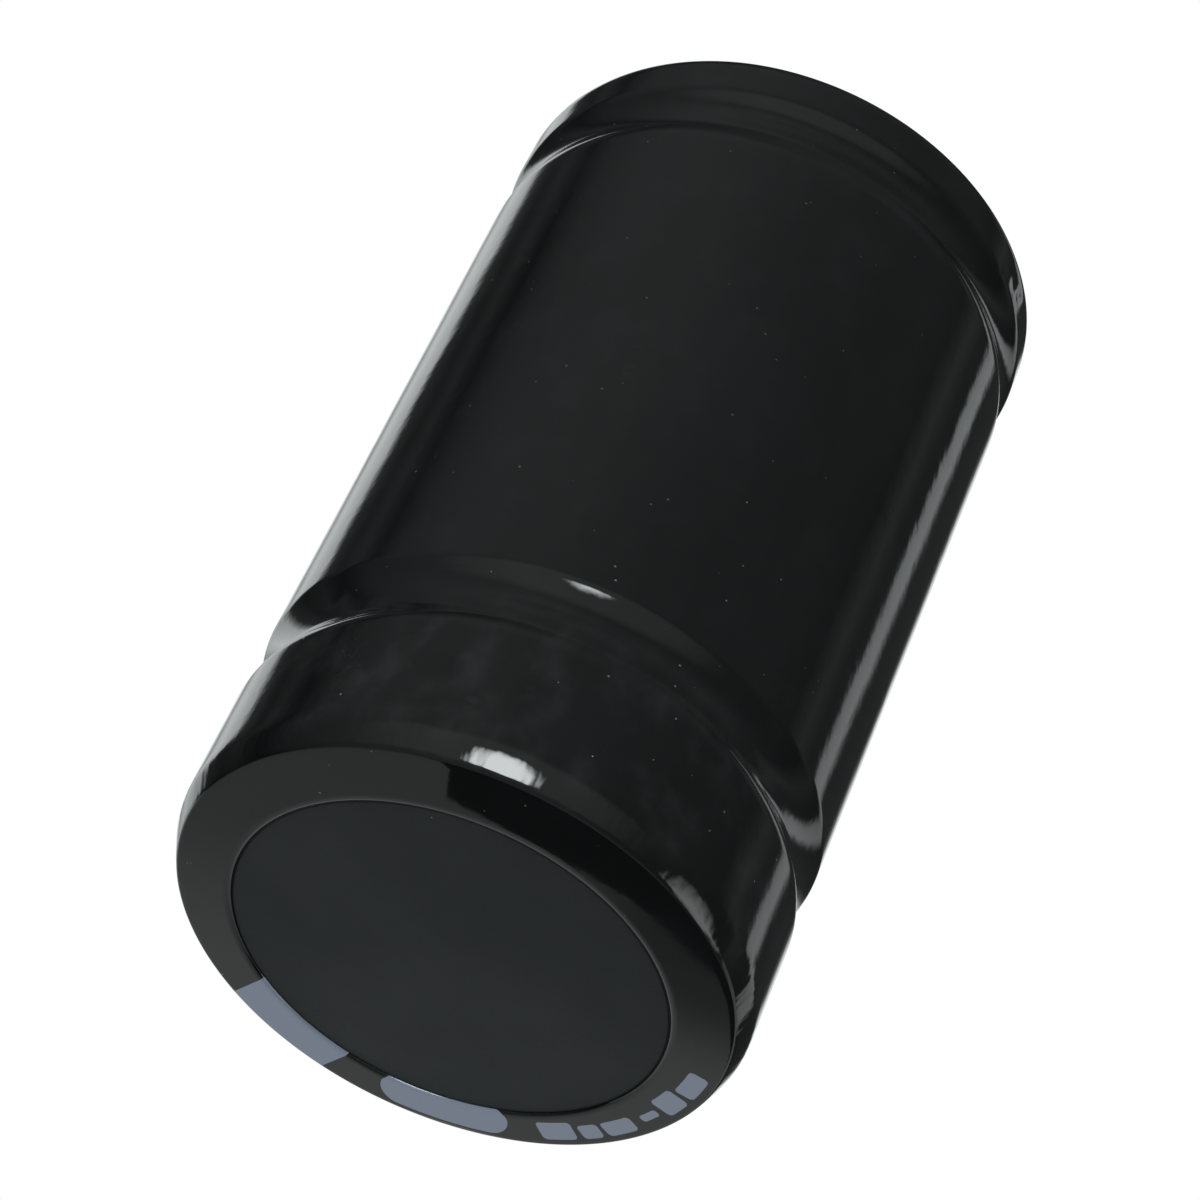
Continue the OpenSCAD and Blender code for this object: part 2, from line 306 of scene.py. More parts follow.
def speck_group():
    """Scattered specks of dust, each a small dot in its own cell."""
    tree, given, made = new_group(
        "Specks", "ShaderNodeTree",
        [("Spacing", FLOAT, 0.006), ("Radius", FLOAT, 0.0001), ("Share", FLOAT, 0.4)], [("Mask", FLOAT)],
    )
    scale = over(tree, 1.0, given["Spacing"])
    cells = add(tree, "ShaderNodeTexVoronoi", {"Vector": object_place(tree), "Scale": scale}).outputs
    chance = add(tree, "ShaderNodeSeparateColor", {0: cells["Color"]}).outputs
    away = times(tree, cells["Distance"], given["Spacing"])
    radius = times(tree, given["Radius"], plus(tree, chance[1], 0.3))
    dot = math_node(tree, "LESS_THAN", away, radius)
    kept = math_node(tree, "LESS_THAN", chance[0], given["Share"])
    tree.links.new(times(tree, dot, kept), made["Mask"])
    return tree


def hairline_group():
    """Fine scratches: thin broken lines along one direction."""
    tree, given, made = new_group(
        "Hairlines", "ShaderNodeTree",
        [("Turn", VECTOR, (0.0, 0.0, 0.0)), ("Density", FLOAT, 0.3), ("Length", FLOAT, 0.02)],
        [("Mask", FLOAT)],
    )
    inputs = {"Vector": object_place(tree), "Rotation": given["Turn"]}
    turned = add(tree, "ShaderNodeVectorRotate", inputs, rotation_type="EULER_XYZ").outputs[0]
    x, y, z = separate(tree, turned)
    inputs = {"X": times(tree, x, 900.0), "Y": times(tree, y, 900.0), "Z": over(tree, z, given["Length"])}
    drawn = add(tree, "ShaderNodeCombineXYZ", inputs).outputs[0]
    lines = add(tree, "ShaderNodeTexNoise", {"Vector": drawn, "Scale": 1.0, "Detail": 1.0}).outputs[0]
    edge = math_node(tree, "ABSOLUTE", minus(tree, lines, 0.5))
    line = fade(tree, edge, 0.0, 0.006, 1.0, 0.0)
    patches = add(tree, "ShaderNodeTexNoise", {"Vector": turned, "Scale": 130.0, "Detail": 1.0}).outputs[0]
    kept = fade(tree, patches, minus(tree, 0.78, given["Density"]), 0.85)
    tree.links.new(times(tree, line, kept), made["Mask"])
    return tree


def ring_field_group():
    """A field printed on the flat lip, between two angles and two radii, with rounded corners."""
    tree, given, made = new_group(
        "Ring field", "ShaderNodeTree",
        [("Middle", FLOAT, 90.0), ("Half Angle", FLOAT, 10.0), ("Inner", FLOAT, 0.014),
         ("Outer", FLOAT, 0.0165), ("Corner", FLOAT, 0.0005)],
        [("Mask", FLOAT)],
    )
    x, y, z = separate(tree, object_place(tree))
    radius = distance(tree, x, y)
    turn = minus(tree, math_node(tree, "ARCTAN2", y, x), math_node(tree, "RADIANS", given["Middle"]))
    turn = math_node(tree, "ABSOLUTE", math_node(tree, "WRAP", turn, math.pi, -math.pi))
    middle_r = times(tree, plus(tree, given["Inner"], given["Outer"]), 0.5)
    half_r = times(tree, minus(tree, given["Outer"], given["Inner"]), 0.5)
    half_s = times(tree, math_node(tree, "RADIANS", given["Half Angle"]), middle_r)
    along = minus(tree, times(tree, turn, radius), minus(tree, half_s, given["Corner"]))
    off_middle = math_node(tree, "ABSOLUTE", minus(tree, radius, middle_r))
    across = minus(tree, off_middle, minus(tree, half_r, given["Corner"]))
    beyond = distance(tree, most(tree, along, 0.0), most(tree, across, 0.0))
    inside = fade(tree, minus(tree, beyond, given["Corner"]), -0.02 * MM, 0.03 * MM, 1.0, 0.0)
    flat = math_node(tree, "LESS_THAN", z, 0.35 * MM)
    tree.links.new(times(tree, inside, flat), made["Mask"])
    return tree


GROUPS = {}


def group(name):
    """The shared node group of that name, built when it is first asked for."""
    makers = {"grain": grain_group, "specks": speck_group, "hairlines": hairline_group,
              "ring_field": ring_field_group, "turned": turned_group}
    if name not in GROUPS:
        GROUPS[name] = makers[name]()
    return GROUPS[name]


def effect(tree, name, **inputs):
    """Outputs of a shared effect that is placed with its own values."""
    node = add(tree, "ShaderNodeGroup")
    node.node_tree = group(name)
    for key, value in inputs.items():
        node.inputs[socket_name(key)].default_value = value
    return node.outputs


def bare_material(name):
    """A material with nothing in it yet but its output, whose surface socket comes with it."""
    material = bpy.data.materials.new(name)
    material.use_nodes = True
    tree = material.node_tree
    tree.nodes.clear()
    return material, tree, add(tree, "ShaderNodeOutputMaterial").inputs[0]


def new_material(name, **shader):
    """A material with its Principled shader, whose plain values are set on its own sockets."""
    material, tree, surface = bare_material(name)
    principled = add(tree, "ShaderNodeBsdfPrincipled")
    tree.links.new(principled.outputs[0], surface)
    for key, value in shader.items():
        principled.inputs[key].default_value = value
    return material, tree, principled


def finish_surface(tree, shader, colour, rough, normal):
    """Links what a surface shows: its colour, its roughness and its fine relief."""
    for name, value in (("Base Color", colour), ("Roughness", rough), ("Normal", normal)):
        tree.links.new(value, shader.inputs[name])


# ---------------- materials


def printed(tree):
    """Mask of the plain fields printed on the lip: a patch, a bar and a few dashes."""
    masks = []
    for middle, half, inner, outer, corner in PRINT_FIELDS:
        inputs = {"middle": middle, "half_angle": half, "inner": inner * MM, "outer": outer * MM}
        masks.append(effect(tree, "ring_field", corner=corner * MM, **inputs)[0])
    return most(tree, *masks)


def dust_on_film(tree, height):
    """Mask of dust in three sizes, of which less lies higher up."""
    large, small, finest = (
        effect(tree, "specks", spacing=spacing * MM, radius=radius * MM, share=share)[0]
        for spacing, radius, share in ((5.5, 0.085, 0.35), (2.1, 0.050, 0.30), (1.10, 0.060, 0.60))
    )
    dust = most(tree, large, small, times(tree, finest, 0.50))
    return times(tree, dust, fade(tree, height, 12 * MM, 32 * MM, 1.0, 0.35))


def film_relief(tree, height, marks):
    """The film's fine relief: slow swells, peel, pleats round the rim, and the marks on it."""
    slow = effect(tree, "grain", size=3.2 * MM, detail=1.0)["Height"]
    peel = effect(tree, "grain", size=0.75 * MM, detail=1.5)["Height"]
    pleats = effect(tree, "grain", size=1.0 * MM, stretch=(1.0, 1.0, 0.30), detail=1.5)["Height"]
    off_lip = fade(tree, height, 0.03 * MM, 0.40 * MM, 0.15, 1.0)
    below = fade(tree, height, 1.4 * MM, 3.0 * MM, 1.0, 0.0)
    on_rim = times(tree, fade(tree, height, 0.02 * MM, 0.30 * MM), below)
    normal = bump(tree, times(tree, slow, off_lip), 0.018 * MM)
    normal = bump(tree, times(tree, peel, off_lip), 0.0065 * MM, normal)
    normal = bump(tree, times(tree, pleats, on_rim), 0.036 * MM, normal)
    return bump(tree, marks, 0.004 * MM, normal)


def film_material(film):
    """Black shrink film: glossy, slightly wavy, with printed fields on its lip, dust and hairlines."""
    material, tree, shader = new_material("Shrink film", IOR=1.5)
    height = separate(tree, object_place(tree))["Z"]
    field = printed(tree)
    dust = dust_on_film(tree, height)
    upright = effect(tree, "hairlines", turn=(0.05, 0.12, 0.0), density=0.10, length=2.5 * MM)[0]
    slanted = effect(tree, "hairlines", turn=(0.9, 0.5, 0.3), density=0.08, length=2 * MM)[0]
    scratches = most(tree, upright, slanted)
    smudges = effect(tree, "grain", size=1.1 * MM, stretch=(1.0, 1.0, 0.45), detail=2.0)["Blotches"]
    handled = effect(tree, "grain", size=0.30 * MM, stretch=(1.0, 1.0, 0.7), detail=1.2)["Blotches"]
    below = fade(tree, height, 9 * MM, 14 * MM, 1.0, 0.20)
    on_wall = times(tree, fade(tree, height, 0.3 * MM, 2 * MM), below)
    clouds = times(tree, fade(tree, handled, 0.42, 0.78), on_wall)
    tone = fade(tree, smudges, 0.35, 0.70)
    black = mix_colours(tree, tone, rgba(film.colour, 0.75), rgba(film.colour, 1.35))
    black = mix_colours(tree, clouds, black, (0.0052, 0.0060, 0.0062, 1.0))
    colour = mix_colours(tree, field, black, rgba(film.print_colour))
    colour = mix_colours(tree, times(tree, scratches, 0.10), colour, grey(0.12))
    colour = mix_colours(tree, times(tree, dust, 0.55), colour, (0.20, 0.20, 0.195, 1.0))
    worn = (times(tree, scratches, 0.12), times(tree, dust, 0.4), times(tree, field, 0.10))
    rough = plus(tree, fade(tree, smudges, 0.42, 0.75, 0.035, 0.10), *worn)
    finish_surface(tree, shader, colour, rough, film_relief(tree, height, minus(tree, dust, scratches)))
    return material


def disc_material(end):
    """Dark pressed fibre: matt, with a fine grain, faint clouds, scuffs and a few specks."""
    material, tree, shader = new_material("Pressed fibre", IOR=1.42)
    grain = effect(tree, "grain", size=0.16 * MM, detail=3.0)["Height"]
    clouds = effect(tree, "grain", size=1.4 * MM, detail=2.0)["Blotches"]
    dust = effect(tree, "specks", spacing=4.5 * MM, radius=0.07 * MM, share=0.3)[0]
    scuffs = effect(tree, "hairlines", turn=(1.57, 0.4, 0.2), density=0.12, length=5 * MM)[0]
    tone = fade(tree, clouds, 0.30, 0.72)
    colour = mix_colours(tree, tone, rgba(end.colour, 0.88), rgba(end.colour, 1.10))
    colour = mix_colours(tree, fade(tree, grain, 0.35, 0.68), colour, rgba(end.colour, 1.22))
    colour = mix_colours(tree, times(tree, scuffs, 0.25), colour, grey(0.07))
    colour = mix_colours(tree, dust, colour, (0.16, 0.16, 0.155, 1.0))
    rough = fade(tree, clouds, 0.3, 0.7, 0.62, 0.78)
    finish_surface(tree, shader, colour, rough, bump(tree, grain, end.grain))
    return material


def metal_material(name, colour, rough, grain_size, stretch=(1.0, 1.0, 1.0), height=0.004 * MM):
    """Plated or drawn metal: a directional grain, blotches in its gloss, and hairlines."""
    material, tree, shader = new_material(name, Metallic=1.0)
    grain = effect(tree, "grain", size=grain_size, stretch=stretch, detail=3.0)
    wear = effect(tree, "hairlines", turn=(1.2, 0.3, 0.6), density=0.25, length=4 * MM)[0]
    shade = mix_colours(tree, fade(tree, grain["Blotches"], 0.3, 0.7), rgba(colour, 0.86), rgba(colour))
    shade = mix_colours(tree, times(tree, wear, 0.3), shade, rgba(colour, 0.6))
    gloss = fade(tree, grain["Height"], 0.3, 0.7, rough * 0.8, rough * 1.25)
    gloss = plus(tree, gloss, times(tree, wear, 0.1))
    finish_surface(tree, shader, shade, gloss, bump(tree, grain["Height"], height))
    return material


def moulded_material(name, colour, rough, grain_size, height, variation=0.25):
    """Moulded or pressed matter: fine grain, faint clouds and dust."""
    material, tree, shader = new_material(name)
    grain = effect(tree, "grain", size=grain_size, detail=3.0)
    dust = effect(tree, "specks", spacing=3.5 * MM, radius=0.06 * MM, share=0.35)[0]
    tone = fade(tree, grain["Blotches"], 0.3, 0.7)
    shade = mix_colours(tree, tone, rgba(colour, 1.0 - variation), rgba(colour, 1.0 + variation))
    lighter = tuple(min(1.0, c * 1.3 + 0.08) for c in colour)
    shade = mix_colours(tree, times(tree, dust, 0.6), shade, rgba(lighter))
    gloss = fade(tree, grain["Height"], 0.3, 0.7, rough * 0.9, min(1.0, rough * 1.12))
    finish_surface(tree, shader, shade, gloss, bump(tree, grain["Height"], height))
    return material


def roll_material():
    """Wound electrode: the turns show as fine rings at the ends, paper grain round the outside."""
    material, tree, shader = new_material("Wound electrode")
    x, y, _ = separate(tree, object_place(tree))
    turn = over(tree, math_node(tree, "ARCTAN2", y, x), 2 * math.pi)
    spiral = plus(tree, over(tree, distance(tree, x, y), 0.34 * MM), turn)
    band = fade(tree, math_node(tree, "PINGPONG", spiral, 0.5), 0.30, 0.40)
    paper = effect(tree, "grain", size=0.3 * MM, stretch=(1.0, 1.0, 0.4), detail=3.0)
    colour = mix_colours(tree, band, (0.035, 0.035, 0.036, 1.0), (0.42, 0.40, 0.35, 1.0))
    shade = mix_colours(tree, fade(tree, paper["Blotches"], 0.3, 0.7), grey(0.75), grey(1.0))
    colour = mix_colours(tree, 1.0, colour, shade, "MULTIPLY")
    rough = fade(tree, paper["Height"], 0.3, 0.7, 0.75, 0.92)
    relief = plus(tree, band, times(tree, paper["Height"], 0.3))
    finish_surface(tree, shader, colour, rough, bump(tree, relief, 0.03 * MM))
    return material


def dress(node, material):
    """Gives a CAD node's object its material."""
    mesh = NODES[node].data
    mesh.materials.clear()
    mesh.materials.append(material)


# ---------------- turned shapes


def turned_group():
    """Turns an outline of points round Z, leans its lip to one side and lays slow waves on it."""
    tree, given, made = new_group(
        "Turned shape", "GeometryNodeTree",
        [("Outline", "NodeSocketGeometry", None), ("Steps", "NodeSocketInt", 96),
         ("Centre", VECTOR, (0.0, 0.0, 0.0)), ("Lean", VECTOR, (0.0, 0.0, 0.0)), ("Wave Height", FLOAT, 0.0),
         ("Wave Length", FLOAT, 0.01), ("Seed", "NodeSocketInt", 0), ("Material", "NodeSocketMaterial", None)],
        [("Shape", "NodeSocketGeometry")],
    )
    outline, steps = given["Outline"], given["Steps"]
    counts = add(tree, "GeometryNodeAttributeDomainSize", {0: outline}, component="MESH").outputs
    rows = counts["Point Count"]
    inputs = {"Size X": 1.0, "Size Y": 1.0, "Vertices X": plus(tree, steps, 1.0), "Vertices Y": rows}
    shape = add(tree, "GeometryNodeMeshGrid", inputs).outputs[0]
    index = add(tree, "GeometryNodeInputIndex").outputs[0]
    column = math_node(tree, "FLOOR", over(tree, plus(tree, index, 0.5), rows))
    row = math_node(tree, "FLOOR", plus(tree, minus(tree, index, times(tree, column, rows)), 0.5))

    def of_outline(value, kind):
        """What the outline's point in this row holds."""
        inputs = {"Geometry": outline, "Value": value, "Index": row}
        return add(tree, "GeometryNodeSampleIndex", inputs, data_type=kind, domain="POINT").outputs[0]

    def named(name):
        return add(tree, "GeometryNodeInputNamedAttribute", {"Name": name}, data_type="FLOAT").outputs[0]

    def then(kind, inputs, **settings):
        """The shape after one more step."""
        return add(tree, kind, {"Geometry": shape, **inputs}, **settings).outputs[0]

    point = of_outline(add(tree, "GeometryNodeInputPosition").outputs[0], "FLOAT_VECTOR")
    lean, wave = (of_outline(named(name), "FLOAT") for name in ("lean", "wave"))
    inputs = {"Vector": point, "Angle": times(tree, over(tree, column, steps), 2 * math.pi)}
    placed = add(tree, "ShaderNodeVectorRotate", inputs, rotation_type="Z_AXIS").outputs[0]
    placed = vector_node(tree, "ADD", placed, vector_node(tree, "SCALE", given["Lean"], lean))
    placed = vector_node(tree, "ADD", placed, given["Centre"])
    shape = then("GeometryNodeSetPosition", {"Position": placed})
    inputs = {"Name": "waviness", "Value": wave}
    shape = then("GeometryNodeStoreNamedAttribute", inputs, data_type="FLOAT", domain="POINT")
    shape = then("GeometryNodeMergeByDistance", {"Distance": 0.002 * MM})
    inputs = {"Vector": add(tree, "GeometryNodeInputPosition").outputs[0], "W": given["Seed"],
              "Scale": over(tree, 1.0, given["Wave Length"]), "Detail": 1.0}
    noise = add(tree, "ShaderNodeTexNoise", inputs, noise_dimensions="4D").outputs[0]
    sunk = math_node(tree, "MINIMUM", minus(tree, noise, 0.72), 0.0)
    height = times(tree, sunk, 4.0, times(tree, given["Wave Height"], named("waviness")))
    lift = vector_node(tree, "SCALE", add(tree, "GeometryNodeInputNormal").outputs[0], height)
    shape = then("GeometryNodeSetPosition", {"Offset": lift})
    shape = then("GeometryNodeSetShadeSmooth", {})
    shape = then("GeometryNodeRealizeInstances", {})
    shape = then("GeometryNodeSetMaterial", {"Material": given["Material"]})
    tree.links.new(shape, made["Shape"])
    return tree


def outline_mesh(name, points):
    """Outline points as loose vertices: radius, height, and how much each leans and waves."""
    mesh = bpy.data.meshes.new(name)
    mesh.from_pydata([(r, 0.0, z) for r, z, _, _ in points], [], [])
    for key, column in (("lean", 2), ("wave", 3)):
        layer = mesh.attributes.new(key, "FLOAT", "POINT")
        layer.data.foreach_set("value", [p[column] for p in points])
    return mesh


def place_object(name, data):
    thing = bpy.data.objects.new(name, data)
    bpy.context.scene.collection.objects.link(thing)
    return thing


def close_up(mesh):
    """Drops empty faces, turns the others outwards and stops at an open edge."""
    build = bmesh.new()
    build.from_mesh(mesh)
    empty = [face for face in build.faces if face.calc_area() < 1e-14]
    if empty:
        bmesh.ops.delete(build, geom=empty, context="FACES_ONLY")
    open_edges = sum(1 for edge in build.edges if len(edge.link_faces) != 2)
    if build.calc_volume(signed=True) < 0:
        bmesh.ops.reverse_faces(build, faces=build.faces)
    build.to_mesh(mesh)
    build.free()
    if open_edges:
        raise RuntimeError(f"{mesh.name} has {open_edges} open edges")


def turn_shape(name, points, material, **inputs):
    """Bakes a turned shape to a plain mesh object with outward faces."""
    outline = outline_mesh(name + "_outline", points)
    maker = place_object(name + "_outline", outline)
    modifier = maker.modifiers.new("Turned shape", "NODES")
    modifier.node_group = group("turned")
    sockets = modifier.node_group.interface.items_tree
    names = {socket.name: socket.identifier for socket in sockets if socket.in_out == "INPUT"}
    modifier[names["Material"]] = material
    for key, value in inputs.items():
        modifier[names[socket_name(key)]] = value
    depsgraph = bpy.context.evaluated_depsgraph_get()
    mesh = bpy.data.meshes.new_from_object(maker.evaluated_get(depsgraph), depsgraph=depsgraph)
    maker.modifiers.remove(modifier)
    bpy.data.objects.remove(maker)
    bpy.data.meshes.remove(outline)
    mesh.name = name
    close_up(mesh)
    return place_object(name, mesh)


def turn_plain(name, line, material, steps, centre=(0.0, 0.0, 0.0)):
    """A turned shape that neither leans nor waves."""
    return turn_shape(name, [(r, z, 0.0, 0.0) for r, z in line], material, steps=steps, centre=centre)


def arc(centre, radius, start, end, count):
    """Points along an arc in the radius and height plane, with angles in degrees."""
    angles = np.radians(np.linspace(start, end, count))
    return [(centre[0] + radius * math.cos(a), centre[1] + radius * math.sin(a)) for a in angles]


def straight(start, end, step):
    """Points from start towards end, both left out, about a step apart."""
    count = max(1, round(math.dist(start, end) / step))
    start, end = np.array(start), np.array(end)
    return [tuple(start + (end - start) * i / count) for i in range(1, count)]


def bead(z, depth, roll, edge, out, count):
    """The can's wall past a rolled bead, from below to above, moved outwards by out."""
    half = math.sqrt((roll + edge) ** 2 - (roll + edge - depth) ** 2)
    turn = math.degrees(math.atan2(half, roll + edge - depth))
    lower = arc((CAN_R - edge, z - half), edge + out, 0, turn, count)
    groove = arc((CAN_R - depth + roll, z), roll - out, 180 + turn, 180 - turn, count)
    upper = arc((CAN_R - edge, z + half), edge + out, -turn, 0, count)
    return lower + groove[1:-1] + upper


def curl_and_neck(top):
    """Heights in millimetres of the middle of the can's curl and of its neck bead."""
    curl_z = top / MM - FILM_THICK - FILM_FIT - CURL_R
    return curl_z, curl_z - RUBBER - BOARD - NECK_HALF


def inner_beads(neck_z, count):
    """The film's inner side past the foot bead and past the neck bead."""
    return bead(FOOT_Z, *FOOT_BEAD, FILM_FIT, count), bead(neck_z, *NECK_BEAD, FILM_FIT, count)


def drape(low, deepest, high, depth, upper_crease, count):
    """The film's outside past a bead: it leaves the wall at low, lies deepest and comes back gently at high."""
    wall_r = CAN_R + FILM_THICK + FILM_FIT
    line = []
    for side, reach, crease in ((1, deepest - low, 0.45), (-1, high - deepest, upper_crease)):
        turn = 2 * math.atan2(depth, reach)
        radius = reach / math.sin(turn)
        flank = side * math.degrees(turn)
        shoulder_r, hollow_r = radius * (1 - crease), radius * crease
        shoulder = arc((wall_r - shoulder_r, deepest - side * reach), shoulder_r, 0, flank, count)
        hollow = arc((wall_r - depth + hollow_r, deepest), hollow_r, 180 + flank, 180, count)
        half = shoulder + hollow[1:]
        line += half if side == 1 else half[-2::-1]
    return line


def film_side(foot, neck, away, curl_z, count, step):
    """One side of the film, away from the can: from above the closed end's corner to the end of the fold."""
    fold = arc((CAN_R - CURL_R, curl_z), CURL_R + away, 0, 150, count + 2)
    return (straight((CAN_R + away, 2.65), foot[0], step / 3) + foot + straight(foot[-1], neck[0], step) + neck
            + straight(neck[-1], fold[0], step / 3) + fold)


def looseness(r, z, lip_in, curl_z):
    """How much a point of the film's outline leans with the lip, and how much it waves."""
    if z < 0.2 and r < 17.0:
        return min(1.0, max(0.0, (16.9 - r) / (16.9 - lip_in))), 0.0
    if z > curl_z + 0.2:
        return 0.0, 1.6 if r < 17.2 else 1.0
    return 0.0, min(1.0, max(0.0, (z - 2.0) / 4.0))


def film_outline(film, top):
    """Closed outline of the film in metres, from the lip's edge round the outside and back inside."""
    out = FILM_THICK + FILM_FIT
    curl_z, neck_z = curl_and_neck(top)
    lip_in, lip_out = film.hole_radius / MM, 16.85
    bottom = straight((lip_in, 0.0), (lip_out, 0.0), 0.33) + [(lip_out, 0.0)]
    corner = arc((lip_out, 0.20), 0.20, -78, -28, 5)
    rim = [(17.12, 0.30), (17.213, 0.50), (17.322, 0.75), (17.425, 1.00), (17.502, 1.20), (17.572, 1.40),
           (17.625, 1.58), (17.655, 1.74), (17.676, 1.95), (17.69, 2.20), (17.70, 2.50)]
    foot = drape(9.1, 11.4, 14.9, 0.72, 0.86, 9)
    neck = drape(52.8, neck_z - 0.1, 57.9, 0.57, 0.72, 9)
    outer = film_side(foot, neck, out, curl_z, 9, 1.0)
    inner = film_side(*inner_beads(neck_z, 4), FILM_FIT, curl_z, 4, 6.0)[::-1]
    middle = ((outer[-1][0] + inner[0][0]) / 2, (outer[-1][1] + inner[0][1]) / 2)
    back = [(17.30, 1.6), (17.22, 0.9), (16.9, 0.30), (16.6, FILM_THICK), (15.0, FILM_THICK),
            (lip_in + 0.05, FILM_THICK), (lip_in, FILM_THICK - 0.04)]
    line = bottom + corner + rim + outer + [middle] + inner + back
    return [(r * MM, z * MM, *looseness(r, z, lip_in, curl_z)) for r, z in line + line[:1]]


def press(mesh, marks, inside):
    """Lays the bridges and dents on the film's wall, and keeps them clear of the can."""
    co, normals = np.empty(len(mesh.vertices) * 3), np.empty(len(mesh.vertices) * 3)
    mesh.vertices.foreach_get("co", co)
    mesh.vertex_normals.foreach_get("vector", normals)
    co, normals = co.reshape(-1, 3), normals.reshape(-1, 3)
    z = co[:, 2]
    radius = np.hypot(co[:, 0], co[:, 1])
    azimuth = np.degrees(np.arctan2(co[:, 1], co[:, 0]))
    outer = (normals[:, :2] * co[:, :2]).sum(axis=1) > 0
    for where, height, wide, tall, slant, depth in marks:
        across = np.radians((azimuth - where + 180) % 360 - 180) * radius
        up = z - height * MM
        lean = math.radians(slant)
        a = across * math.cos(lean) + up * math.sin(lean)
        b = -across * math.sin(lean) + up * math.cos(lean)
        push = depth * MM * np.exp(-((a / (wide * MM)) ** 2) - (b / (tall * MM)) ** 2) * (z > 1.0 * MM)
        push *= outer | (depth < 0)
        co[:, :2] *= (1 - push / np.maximum(radius, 1e-6))[:, None]
    inside_r, inside_z = np.array(inside).T * MM
    least = np.interp(z, inside_z, inside_r) + LEAST_FILM * MM
    least *= outer & (z > CORNER_TOP * MM) & (z < FOLD_START * MM)
    co[:, :2] *= np.maximum(1.0, least / np.maximum(np.hypot(co[:, 0], co[:, 1]), 1e-6))[:, None]
    past_wall = np.hypot(co[:, 0], co[:, 1]) / radius.max()
    co[:, :2] /= np.maximum(past_wall, 1.0)[:, None]
    mesh.vertices.foreach_set("co", co.ravel())
    mesh.update()


def finish_piece(piece, slot, *nodes):
    """Hangs a piece on the cell's one body, in place of its CAD nodes."""
    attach(piece, "root")
    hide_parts(*nodes)


# ---------------- operators


class CELL_OT_sleeve(Operator):
    """Make the shrink film, with its grooves, rim, printed lip and folded edge"""

    bl_idname = "cell.sleeve"
    bl_label = "Shrink sleeve"

    def execute(self, context):
        film = context.scene.cell_film
        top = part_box("sleeve")[1].z
        piece = turn_shape(
            "shrink_film", film_outline(film, top), film_material(film), steps=film.steps,
            lean=(0.0, film.hole_shift, 0.0), wave_height=film.wave_height, wave_length=film.wave_length,
            seed=film.seed,
        )
        foot, neck = inner_beads(curl_and_neck(top)[1], 24)
        press(piece.data, BRIDGES + DENTS, foot + neck)
        finish_piece(piece, "film", "sleeve")
        return {"FINISHED"}


class CELL_OT_closed_end(Operator):
    """Make the fibre disc that shows inside the lip"""

    bl_idname = "cell.closed_end"
    bl_label = "Closed end"

    def execute(self, context):
        end = context.scene.cell_end
        low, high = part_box("base_disc")
        bottom, top = low.z, high.z
        line = [(r * MM, bottom) for r in (0, 4, 8, 11, 13, 15, 16.4)]
        line += [(r * MM, z * MM) for r, z in arc((16.75, bottom / MM + 0.2), 0.2, -90, 0, 6)]
        line += [(16.95 * MM, top - 0.1 * MM), (16.85 * MM, top), (8 * MM, top), (0.0, top)]
        piece = turn_plain("fibre_disc", line, disc_material(end), 192)
        finish_piece(piece, "fibre", "base_disc")
        return {"FINISHED"}


class CELL_OT_can(Operator):
    """Dress the drawn can, whose curl shows at the header"""

    bl_idname = "cell.can"
    bl_label = "Can"

    def execute(self, context):
        dress("can", metal_material("Drawn aluminium", (0.78, 0.79, 0.80), 0.30, 0.3 * MM, (1.0, 1.0, 0.08)))
        return {"FINISHED"}


class CELL_OT_header(Operator):
    """Dress the header's board and its rubber facing"""

    bl_idname = "cell.header"
    bl_label = "Header"

    def execute(self, context):
        board = moulded_material("Phenolic board", (0.20, 0.11, 0.05), 0.55, 0.4 * MM, 0.01 * MM)
        rubber = moulded_material("Moulded rubber", (0.020, 0.020, 0.020), 0.72, 0.22 * MM, 0.02 * MM)
        dress("header_board", board)
        dress("header_rubber", rubber)
        return {"FINISHED"}


